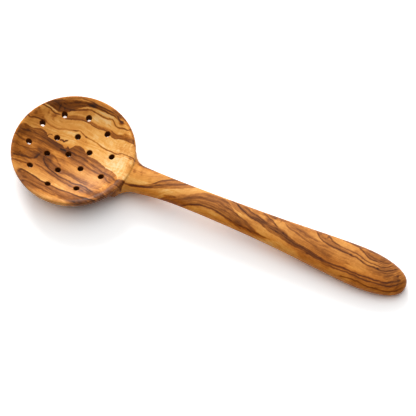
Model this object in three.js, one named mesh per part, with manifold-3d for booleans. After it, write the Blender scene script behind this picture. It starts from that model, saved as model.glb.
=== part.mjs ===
// A strainer spoon carved from one blank of olive wood: a shallow round bowl with drilled drain holes,
// and a long handle that flares out of the rim, narrows to a neck and swells again towards a rounded tip.
// Lengths are in millimetres and angles in degrees. The spoon lies on the table, at z = 0, along the X axis.
import * as THREE from "three";
import { mergeVertices } from "three/addons/utils/BufferGeometryUtils.js";
import Module from "manifold-3d";

// Whole spoon
const overallLength = 300; // far edge of the bowl to the handle's tip
const woodColour = 0xc08a4e;
const woodRoughness = 0.45;

// Bowl
const bowlDiameter = 89.2;
const bowlHeight = 18.5; // table to the top of the rim
const restFlatDiameter = 18; // sanded flat that the bowl rests on
const rimEdgeHeight = 5.8; // upright outer edge of the rim
const rimRounding = 0.9;
const wallBlend = 5; // how far in from the edge the belly starts to turn upright
const rimWidth = 3;

// Dish, carved a little off the bowl's centre, away from the handle
const floorThickness = 6.5;
const dishShift = 1;
const dishFlare = 4.75; // how far past the lip the ellipse of the dish's floor would reach
const lipRounding = 0.8;

// Drain holes: one in the middle and two rings, drilled by eye, so a little away from the bowl's centre
const holeDiameter = 4.2;
const innerRingShift = 4.8;
const outerRingShift = 3.5;
const holeSideShift = 0.9;
const outerRingInset = 11.3; // from the dish's lip to the outer ring
const innerHoleAngles = [27, 88, 147, 204, 266, 330];
const outerHoleAngles = [16, 52, 88, 122, 155, 189, 226, 264, 304, 342];

// Handle, from the bowl to the tip
const rootOverlap = 14; // how far the handle's blank reaches into the bowl's
const rootWidth = 22;
const rootThickness = 13.6;
const rootDip = 0.6; // crown below the rim, where the handle leaves the bowl
const rootLift = 4; // rise of the underside inside the bowl
const rootFillet = 12.5; // round between the handle's sides and the bowl
const neckDistance = 38; // rim to the narrowest place
const neckWidth = 17.8;
const neckThickness = 11.2;
const neckRise = 0.7; // crown above the rim
const middleWidth = 21.2;
const middleThickness = 12.6;
const gripDistance = 42; // widest place to the tip
const gripWidth = 30;
const gripThickness = 14.4;
const gripLift = 1.2; // underside above the table
const tipWidth = 31; // width that the rounded end is drawn in from
const tipDrop = 3.6; // fall of the crown from the widest place to the tip
const tipRoundness = 2.45; // 2 is an ellipse, more is blunter
const sectionSquareness = 2.2; // 2 is an ellipse, more is squarer

// Fineness of the facets
const weldDistance = 1e-4;
const bowlSides = 64;
const curveSteps = 4;
const holeSides = 18;
const sectionSides = 24;
const handleSteps = 28;
const tipSteps = 9;

const bowlRadius = bowlDiameter / 2;
const dishRadius = bowlRadius - rimWidth;
const dishDepth = bowlHeight - floorThickness;
const tipReach = overallLength - bowlRadius;

const wasm = await Module();
wasm.setup();

function toSolid(geometry) {
  const bare = geometry.clone();
  bare.deleteAttribute("normal");
  bare.deleteAttribute("uv");
  const merged = mergeVertices(bare, weldDistance);
  const vertProperties = new Float32Array(merged.attributes.position.array);
  const triVerts = new Uint32Array(merged.index.array);
  return new wasm.Manifold(new wasm.Mesh({ numProp: 3, vertProperties, triVerts }));
}

function toGeometry(solid) {
  const mesh = solid.getMesh();
  const geometry = new THREE.BufferGeometry();
  geometry.setAttribute("position", new THREE.BufferAttribute(new Float32Array(mesh.vertProperties), 3));
  geometry.setIndex(new THREE.BufferAttribute(new Uint32Array(mesh.triVerts), 1));
  geometry.computeVertexNormals();
  return geometry;
}

// A profile in (radius, height) turned round the Z axis
function turned(path) {
  const geometry = new THREE.LatheGeometry(path.getPoints(curveSteps), bowlSides);
  geometry.rotateX(Math.PI / 2);
  return geometry;
}

// The bowl's outside: a flat to rest on, a round belly, and a rim whose upright edge is softened
function bowlBlank() {
  const flatRadius = restFlatDiameter / 2;
  const edgeFoot = bowlHeight - rimEdgeHeight;
  const bellyCentre = (bowlRadius ** 2 - flatRadius ** 2 + edgeFoot ** 2) / (2 * edgeFoot);
  const bellyRadius = Math.hypot(flatRadius, bellyCentre);
  const bellyStart = Math.asin(flatRadius / bellyRadius);
  const bellyEnd = Math.asin((bowlRadius - wallBlend) / bellyRadius);
  const bellyTop = bellyCentre - bellyRadius * Math.cos(bellyEnd);
  const wallFoot = bellyTop + wallBlend * Math.tan(bellyEnd);
  const rimEdge = bowlHeight - rimRounding;

  const profile = new THREE.Path();
  profile.moveTo(0, 0);
  profile.lineTo(flatRadius, 0);
  profile.absarc(0, bellyCentre, bellyRadius, bellyStart - Math.PI / 2, bellyEnd - Math.PI / 2, false);
  profile.quadraticCurveTo(bowlRadius, wallFoot, bowlRadius, rimEdge);
  profile.absarc(bowlRadius - rimRounding, rimEdge, rimRounding, 0, Math.PI / 2, false);
  profile.lineTo(0, bowlHeight);
  return turned(profile);
}

// What the carver takes out: a dish whose floor is part of an ellipse, with a softened lip, open upwards
function dishHollow() {
  const reach = dishRadius + dishFlare;
  const rise = dishDepth / (1 - Math.sqrt(1 - (dishRadius / reach) ** 2));
  const ellipseCentre = floorThickness + rise;
  const lipAngle = Math.asin((dishRadius - lipRounding) / reach);
  const mouth = dishRadius + lipRounding;
  const above = bowlHeight + neckThickness;

  const profile = new THREE.Path();
  profile.moveTo(0, floorThickness);
  profile.absellipse(0, ellipseCentre, reach, rise, -Math.PI / 2, lipAngle - Math.PI / 2, false, 0);
  profile.quadraticCurveTo(dishRadius, bowlHeight, mouth, bowlHeight);
  profile.lineTo(mouth, above);
  profile.lineTo(0, above);
  return turned(profile).translate(-dishShift, 0, 0);
}

// Places of the drain holes, as (x, y) from the bowl's axis
function drainHoles() {
  const outerRing = dishRadius - outerRingInset;
  const innerRing = outerRing / 2;
  const place = (radius, degrees, shift) => {
    const angle = THREE.MathUtils.degToRad(degrees);
    return new THREE.Vector2(radius * Math.cos(angle) - shift, radius * Math.sin(angle) + holeSideShift);
  };
  return [
    place(0, 0, innerRingShift),
    ...innerHoleAngles.map((degrees) => place(innerRing, degrees, innerRingShift)),
    ...outerHoleAngles.map((degrees) => place(outerRing, degrees, outerRingShift)),
  ];
}

function drill(place) {
  const geometry = new THREE.CylinderGeometry(holeDiameter / 2, holeDiameter / 2, 4 * bowlHeight, holeSides);
  return geometry.rotateX(Math.PI / 2).translate(place.x, place.y, 0);
}

// Stations of the handle, as distances from the bowl's axis with the width, thickness and crown height there
function handleStations() {
  const neckAt = bowlRadius + neckDistance;
  const gripAt = tipReach - gripDistance;
  const rootCrown = bowlHeight - rootDip;
  const gripCrown = gripThickness + gripLift;
  return [
    { at: bowlRadius - rootOverlap, width: rootWidth, thickness: rootThickness - rootLift, crown: rootCrown },
    { at: bowlRadius, width: rootWidth, thickness: rootThickness, crown: rootCrown },
    { at: neckAt, width: neckWidth, thickness: neckThickness, crown: bowlHeight + neckRise },
    { at: (neckAt + gripAt) / 2, width: middleWidth, thickness: middleThickness, crown: bowlHeight },
    { at: gripAt, width: gripWidth, thickness: gripThickness, crown: gripCrown },
    { at: tipReach, width: tipWidth, thickness: gripThickness, crown: gripCrown - tipDrop },
  ];
}

// How much wider each side of the handle is where it runs into the round bowl
function rootFlare(x) {
  const side = rootWidth / 2;
  const filletAt = Math.sqrt((bowlRadius + rootFillet) ** 2 - (side + rootFillet) ** 2);
  const tangentAt = filletAt * bowlRadius / (bowlRadius + rootFillet);
  const along = Math.min(Math.max(filletAt - x, 0), filletAt - tangentAt);
  return rootFillet - Math.sqrt(rootFillet ** 2 - along ** 2);
}

// One closed section of the handle, a squarish oval across the X axis
function handleSection(x, width, thickness, crown) {
  const soften = (value) => Math.sign(value) * Math.abs(value) ** (2 / sectionSquareness);
  const ring = [];
  for (let i = 0; i < sectionSides; i += 1) {
    const angle = 2 * Math.PI * i / sectionSides;
    const y = width / 2 * soften(Math.cos(angle));
    const z = crown - thickness / 2 + thickness / 2 * soften(Math.sin(angle));
    ring.push(new THREE.Vector3(x, y, z));
  }
  return ring;
}

// The handle's blank, lofted through its sections and closed at the tip as a rounded end
function handleBlank() {
  const stations = handleStations();
  const lineOf = (name) => new THREE.SplineCurve(stations.map((s) => new THREE.Vector2(s.at, s[name])));
  const widthLine = lineOf("width");
  const thicknessLine = lineOf("thickness");
  const crownLine = lineOf("crown");
  const tipStart = (stations.length - 2) / (stations.length - 1);

  const sectionAt = (t, shrink) => {
    const { x, y: width } = widthLine.getPoint(t);
    const thickness = thicknessLine.getPoint(t).y;
    const crown = crownLine.getPoint(t).y - thickness * (1 - shrink) / 2;
    return handleSection(x, (width + 2 * rootFlare(x)) * shrink, thickness * shrink, crown);
  };

  const rings = [];
  for (let i = 0; i < handleSteps; i += 1) {
    rings.push(sectionAt(tipStart * i / handleSteps, 1));
  }
  for (let i = 0; i < tipSteps; i += 1) {
    const reach = Math.sin(Math.PI / 2 * i / tipSteps);
    const shrink = (1 - reach ** tipRoundness) ** (1 / tipRoundness);
    rings.push(sectionAt(tipStart + (1 - tipStart) * reach, shrink));
  }
  const tip = stations.at(-1);
  return loft(rings, new THREE.Vector3(tip.at, 0, tip.crown - tip.thickness / 2));
}

// A closed skin over equal rings: flat at the first ring, drawn to a point after the last
function loft(rings, point) {
  const sides = rings[0].length;
  const start = rings[0].reduce((sum, p) => sum.add(p), new THREE.Vector3()).divideScalar(sides);
  const vertices = [...rings.flat(), start, point];
  const startIndex = vertices.length - 2;
  const pointIndex = vertices.length - 1;
  const lastRing = (rings.length - 1) * sides;
  const faces = [];
  for (let j = 0; j < sides; j += 1) {
    const next = (j + 1) % sides;
    faces.push(startIndex, next, j);
    faces.push(pointIndex, lastRing + j, lastRing + next);
    for (let i = 0; i < lastRing; i += sides) {
      faces.push(i + j, i + next, i + sides + next);
      faces.push(i + j, i + sides + next, i + sides + j);
    }
  }
  const geometry = new THREE.BufferGeometry().setFromPoints(vertices);
  geometry.setIndex(faces);
  return geometry;
}

// Everything below the table's surface, which sands a small flat where the handle rests
function belowTable() {
  const depth = bowlHeight;
  return new THREE.BoxGeometry(3 * overallLength, 3 * bowlDiameter, depth).translate(0, 0, -depth / 2);
}

function spoonGeometry() {
  let solid = toSolid(bowlBlank()).add(toSolid(handleBlank()));
  solid = solid.subtract(toSolid(dishHollow()));
  solid = solid.subtract(toSolid(belowTable()));
  for (const place of drainHoles()) {
    solid = solid.subtract(toSolid(drill(place)));
  }
  return toGeometry(solid);
}

const oliveWood = new THREE.MeshStandardMaterial({
  color: woodColour,
  roughness: woodRoughness,
  metalness: 0,
});

// The origin is on the table, under the middle of the spoon's length
const spoon = new THREE.Mesh(spoonGeometry(), oliveWood);
spoon.name = "spoon";
spoon.position.x = bowlRadius - overallLength / 2;

const strainerSpoon = new THREE.Group();
strainerSpoon.add(spoon);

export default strainerSpoon;
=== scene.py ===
# A strainer spoon of oiled olive wood, lying on a white studio floor
import math

import bpy
import numpy as np
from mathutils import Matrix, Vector


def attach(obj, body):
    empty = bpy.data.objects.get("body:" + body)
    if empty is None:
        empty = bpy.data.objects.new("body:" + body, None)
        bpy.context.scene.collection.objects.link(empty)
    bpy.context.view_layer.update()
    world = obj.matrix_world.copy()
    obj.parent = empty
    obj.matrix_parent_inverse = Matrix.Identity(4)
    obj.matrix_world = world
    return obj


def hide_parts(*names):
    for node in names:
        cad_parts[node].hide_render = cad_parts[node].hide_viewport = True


MM = 0.001

# Sizes of the spoon in millimetres and degrees; lengths along it are measured from the bowl's axis
OVERALL_LENGTH = 300
BOWL_RADIUS = 44.6
BOWL_HEIGHT = 18.5
REST_FLAT_RADIUS = 9
RIM_EDGE_HEIGHT = 5.8
BELLY_FULLNESS = 1.3
RIM_ROUNDING = 0.8
WALL_BLEND = 4.4
DISH_RADIUS = 41.6
DISH_SHIFT = 1
DISH_FLARE = 4.75
FLOOR_THICKNESS = 6.5
LIP_BLEND = 1.6
HOLE_RADIUS = 2.1
HOLE_EDGE_BLEND = 0.2
INNER_RING_RADIUS = 15.15
OUTER_RING_RADIUS = 30.3
INNER_RING_SHIFT = 4.8
OUTER_RING_SHIFT = 3.5
HOLE_SIDE_SHIFT = 0.9
INNER_HOLE_ANGLES = (27, 88, 147, 204, 266, 330)
OUTER_HOLE_ANGLES = (16, 52, 88, 122, 155, 189, 226, 264, 304, 342)
GRIP_PLACE = 213.4
TIP_PLACE = OVERALL_LENGTH - BOWL_RADIUS
STATION_PLACES = (30.6, BOWL_RADIUS, 82.6, 148, GRIP_PLACE, TIP_PLACE)
STATION_WIDTHS = (22, 22, 17.8, 21.2, 30, 31)
STATION_THICKNESSES = (9.6, 13.6, 11.2, 12.6, 14.4, 14.4)
STATION_CROWNS = (17.9, 17.9, 19.2, 18.5, 15.6, 12)
SECTION_SQUARENESS = 2.2
TIP_ROUNDNESS = 2.45
ROOT_FILLET = 12.5
RIM_CREASE_BLEND = 0.8
UNDERSIDE_BLEND = 7
CREASE_HEIGHT = 16
UNDERSIDE_HEIGHT = 9
TABLE_EDGE_BLEND = 0.6

# Place of the bowl's axis along the frame
BOWL_AXIS = BOWL_RADIUS - OVERALL_LENGTH / 2

# Fineness of the mesh in millimetres, and the room round the spoon in its grid
BOWL_STEP = 0.58
HANDLE_STEP = 1
GRID_MARGIN = 2
# How many steps under the table the grid starts
FOOT_STEPS = 1.5

# How the mesh's points settle on the surface
SLOPE_STEP = 0.02
LONGEST_MOVE = 0.4
LEAST_STEEPNESS = 0.05
RELAXINGS = 5
# Least number to divide by
NEARLY_ZERO = 1e-6

# Steps down onto the upper side: how far above it they start, and what share of the distance each one takes
DROP_HEIGHT = 1
DROP_STEPS = 30
DROP_SHARE = 0.8

# Photograph's camera, in the frame's metres and degrees
CAMERA_AIM = Vector((-0.002553, 0.004384, 0))
CAMERA_DISTANCE = 1.971588
CAMERA_AZIMUTH = 23.781
CAMERA_ELEVATION = 61.245
CAMERA_LENS = 240


# Shape of the spoon, as distances to its surface that are negative in the wood

def smooth_min(a, b, reach):
    """The lower of two distances, rounded where they differ by less than reach."""
    overlap = np.maximum(reach - np.abs(a - b), 0)
    return np.minimum(a, b) - overlap ** 2 / (4 * reach)


def smooth_max(a, b, reach):
    return -smooth_min(-a, -b, reach)


def rounded_max(a, b, radius):
    """The higher of two distances, with a round of that radius on a square edge."""
    edge = np.hypot(np.maximum(a + radius, 0), np.maximum(b + radius, 0))
    return edge + np.minimum(np.maximum(a, b) + radius, 0) - radius


def bowl_blank(x, y, z):
    edge_foot = BOWL_HEIGHT - RIM_EDGE_HEIGHT
    spread = BOWL_RADIUS ** 2 - REST_FLAT_RADIUS ** 2
    radius = np.hypot(x, y)
    share = np.maximum(radius ** 2 - REST_FLAT_RADIUS ** 2, 0) / spread
    slope = 2 * radius * edge_foot * BELLY_FULLNESS * share ** (BELLY_FULLNESS - 1) / spread
    belly = (edge_foot * share ** BELLY_FULLNESS - z) / np.hypot(1, slope)
    outside = smooth_max(belly, radius - BOWL_RADIUS, WALL_BLEND)
    return rounded_max(outside, z - BOWL_HEIGHT, RIM_ROUNDING)


def dish_curve():
    """Half width and half height of the ellipse that the dish is part of, and its centre's height."""
    reach = DISH_RADIUS + DISH_FLARE
    rise = (BOWL_HEIGHT - FLOOR_THICKNESS) / (1 - math.sqrt(1 - (DISH_RADIUS / reach) ** 2))
    return reach, rise, FLOOR_THICKNESS + rise


def dish_hollow(x, y, z):
    reach, rise, centre = dish_curve()
    level = np.hypot(x + DISH_SHIFT, y) / reach
    height = (z - centre) / rise
    stretch = np.hypot(level, height)
    slope = np.hypot(level / reach, height / rise)
    return stretch * (stretch - 1) / np.maximum(slope, NEARLY_ZERO)


def hole_places():
    places = [(-INNER_RING_SHIFT, HOLE_SIDE_SHIFT)]
    rings = (
        (INNER_RING_RADIUS, INNER_RING_SHIFT, INNER_HOLE_ANGLES),
        (OUTER_RING_RADIUS, OUTER_RING_SHIFT, OUTER_HOLE_ANGLES),
    )
    for radius, shift, angles in rings:
        for angle in np.radians(angles):
            places.append((radius * math.cos(angle) - shift, radius * math.sin(angle) + HOLE_SIDE_SHIFT))
    return places


def drain_holes(x, y):
    distances = [np.hypot(x - hole_x, y - hole_y) for hole_x, hole_y in hole_places()]
    return np.minimum.reduce(distances) - HOLE_RADIUS


def spline(points, steps=64):
    """Points on a smooth curve through given points."""
    points = np.array(points, float)
    padded = np.vstack([2 * points[0] - points[1], points, 2 * points[-1] - points[-2]])
    along = np.linspace(0, 1, steps, endpoint=False)[:, None]
    pieces = []
    for before, start, end, after in zip(padded, padded[1:], padded[2:], padded[3:]):
        bend = 2 * before - 5 * start + 4 * end - after
        twist = 3 * start - before - 3 * end + after
        pieces.append(start + along * ((end - before) + along * (bend + along * twist)) / 2)
    return np.vstack([*pieces, points[-1:]])


def station_line(values):
    """A smooth curve along the handle through one value for each of its stations."""
    line = spline(list(zip(STATION_PLACES, values)))
    return lambda x: np.interp(x, line[:, 0], line[:, 1])


width_at = station_line(STATION_WIDTHS)
thickness_at = station_line(STATION_THICKNESSES)
crown_at = station_line(STATION_CROWNS)


def root_flare(x):
    """How much wider each side of the handle is where it runs into the round bowl."""
    fillet_centre = BOWL_RADIUS + ROOT_FILLET
    side = STATION_WIDTHS[1] / 2 + ROOT_FILLET
    fillet_at = math.sqrt(fillet_centre ** 2 - side ** 2)
    longest = fillet_at * ROOT_FILLET / fillet_centre
    along = np.clip(fillet_at - x, 0, longest)
    return ROOT_FILLET - np.sqrt(ROOT_FILLET ** 2 - along ** 2)


def handle_blank(x, y, z):
    """A squarish oval along the handle, which shrinks to a round tip beyond the widest part of the grip."""
    half_width = width_at(x) / 2 + root_flare(x)
    half_thickness = thickness_at(x) / 2
    tip_length = TIP_PLACE - GRIP_PLACE
    across = np.abs(y) / half_width
    upward = np.abs(z - crown_at(x) + half_thickness) / half_thickness
    along = np.maximum((x - GRIP_PLACE) / tip_length, 0)
    section = (across ** SECTION_SQUARENESS + upward ** SECTION_SQUARENESS) ** (1 / SECTION_SQUARENESS)
    section = np.maximum(section, NEARLY_ZERO)
    size = (section ** TIP_ROUNDNESS + along ** TIP_ROUNDNESS) ** (1 / TIP_ROUNDNESS)
    section_rise = (section / size) ** (TIP_ROUNDNESS - 1)
    rise_across = section_rise * (across / section) ** (SECTION_SQUARENESS - 1) / half_width
    rise_upward = section_rise * (upward / section) ** (SECTION_SQUARENESS - 1) / half_thickness
    rise_along = (along / size) ** (TIP_ROUNDNESS - 1) / tip_length
    distance = (size - 1) / np.sqrt(rise_across ** 2 + rise_upward ** 2 + rise_along ** 2)
    return np.maximum(distance, STATION_PLACES[0] - x)


def undrilled_distance(x, y, z):
    """Bowl and handle joined, hollowed and cut off at the table."""
    heights = (UNDERSIDE_HEIGHT, CREASE_HEIGHT)
    reach = np.interp(z, heights, (UNDERSIDE_BLEND, RIM_CREASE_BLEND))
    wood = smooth_min(bowl_blank(x, y, z), handle_blank(x, y, z), reach)
    wood = smooth_max(wood, -dish_hollow(x, y, z), LIP_BLEND)
    return smooth_max(wood, -z, TABLE_EDGE_BLEND)


def spoon_distance(x, y, z):
    return smooth_max(undrilled_distance(x, y, z), -drain_holes(x, y), HOLE_EDGE_BLEND)


def upper_height(x, y):
    """Height of the upper side over each place, found by steps down from above, or of its side."""
    height = np.full_like(x, max(STATION_CROWNS) + DROP_HEIGHT)
    side = np.where(np.hypot(x, y) < BOWL_RADIUS, 0, crown_at(x) - thickness_at(x) / 2)
    for _ in range(DROP_STEPS):
        height = np.maximum(height - DROP_SHARE * undrilled_distance(x, y, height), side)
    return height


# Mesh of the spoon

def grid_lines():
    bowl_end = BOWL_RADIUS + GRID_MARGIN
    across = np.arange(-bowl_end, bowl_end, BOWL_STEP)
    along = np.concatenate([across, np.arange(bowl_end, TIP_PLACE + GRID_MARGIN, HANDLE_STEP)])
    upward = np.arange(-FOOT_STEPS * BOWL_STEP, max(STATION_CROWNS) + GRID_MARGIN, BOWL_STEP)
    return along, across, upward


def bridged(inside, rounds=3):
    """The grid's samples, with wood added where two of them meet only across a square's diagonal."""
    for _ in range(rounds):
        for axis in range(3):
            layers = np.moveaxis(inside, axis, 0)
            first, last = layers[:, :-1, :-1], layers[:, 1:, 1:]
            left, right = layers[:, :-1, 1:], layers[:, 1:, :-1]
            left |= first & last & ~right
            first |= left & right & ~last
    return inside


def net_faces(inside, numbers, axis):
    """Faces that cross the grid's edges along one axis, from the numbers of the cells' vertices."""
    inside = np.moveaxis(inside, axis, 0)
    numbers = np.moveaxis(numbers, axis, 0)
    before = inside[:-1, 1:-1, 1:-1]
    i, j, k = np.nonzero(before != inside[1:, 1:-1, 1:-1])
    corners = [numbers[i, j, k], numbers[i, j + 1, k], numbers[i, j + 1, k + 1], numbers[i, j, k + 1]]
    faces = np.stack(corners, 1)
    # Every face looks out of the wood, and round the middle axis its corners run the other way
    turned = before[i, j, k] == (axis == 1)
    faces[turned] = faces[turned, ::-1]
    return faces


def surface_net():
    """Vertices at the middles of the grid's cells that the surface passes through, and their faces."""
    lines = grid_lines()
    across, upward = np.meshgrid(lines[1], lines[2], indexing="ij")
    slices = [spoon_distance(np.full_like(across, x), across, upward) < 0 for x in lines[0]]
    inside = bridged(np.stack(slices))
    shape = [count - 1 for count in inside.shape]
    cell_corners = list(np.ndindex(2, 2, 2))
    filled = np.zeros(shape, int)
    for i, j, k in cell_corners:
        filled += inside[i:i + shape[0], j:j + shape[1], k:k + shape[2]]
    crossed = (filled > 0) & (filled < len(cell_corners))
    numbers = np.full(shape, -1)
    numbers[crossed] = np.arange(crossed.sum())
    middles = [(line[1:] + line[:-1]) / 2 for line in lines]
    points = np.stack([middle[i] for middle, i in zip(middles, np.nonzero(crossed))], 1)
    faces = np.vstack([net_faces(inside, numbers, axis) for axis in range(3)])
    return points, faces


def onto_surface(points, rounds=4):
    """The points, each moved along the slope to where the distance is nothing."""
    for _ in range(rounds):
        slope = np.empty_like(points)
        for axis in range(3):
            step = np.zeros(3)
            step[axis] = SLOPE_STEP
            slope[:, axis] = spoon_distance(*(points + step).T) - spoon_distance(*(points - step).T)
        slope /= 2 * SLOPE_STEP
        steepness = np.maximum((slope ** 2).sum(1), LEAST_STEEPNESS)
        move = slope * (spoon_distance(*points.T) / steepness)[:, None]
        length = np.linalg.norm(move, axis=1, keepdims=True)
        points = points - move * np.minimum(1, LONGEST_MOVE / np.maximum(length, NEARLY_ZERO))
    return points


def relaxed(points, faces):
    """The same net with its vertices spread more evenly over the surface."""
    neighbours = np.zeros_like(points)
    count = np.zeros(len(points))
    corners = faces.shape[1]
    for turn in (1, -1):
        for corner in range(corners):
            np.add.at(neighbours, faces[:, corner], points[faces[:, (corner + turn) % corners]])
            np.add.at(count, faces[:, corner], 1)
    return onto_surface((points + neighbours / count[:, None]) / 2, rounds=2)


def placed(name, data):
    """A new object in the scene."""
    made = bpy.data.objects.new(name, data)
    bpy.context.scene.collection.objects.link(made)
    return made


def mesh_object(name, points, faces):
    mesh = bpy.data.meshes.new(name)
    mesh.from_pydata(points, [], faces)
    return placed(name, mesh)


def carved_spoon():
    points, faces = surface_net()
    points = onto_surface(points)
    for _ in range(RELAXINGS):
        points = relaxed(points, faces)
    points[:, 0] += BOWL_AXIS
    spoon = mesh_object("carved_spoon", points * MM, faces)
    spoon.data.shade_smooth()
    return spoon


# Figure of the wood, placed on the upper side, in millimetres along and across the spoon

# How far across a growth ring has moved, for each millimetre that it goes down
RING_LEAN = 0.45

# Darkness across a band, from its lower edge at 0 to its upper edge at 1
BAND_PROFILES = {
    "even": ((-0.12, 0), (0.1, 1), (0.9, 1), (1.12, 0)),
    "soft": ((-0.3, 0), (0.5, 1), (1.3, 0)),
    "dark_above": ((-0.35, 0), (0.15, 0.75), (0.6, 0.95), (0.93, 1.15), (1.04, 0)),
    "dark_below": ((-0.04, 0), (0.07, 1.15), (0.4, 0.95), (0.85, 0.75), (1.35, 0)),
}

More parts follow.
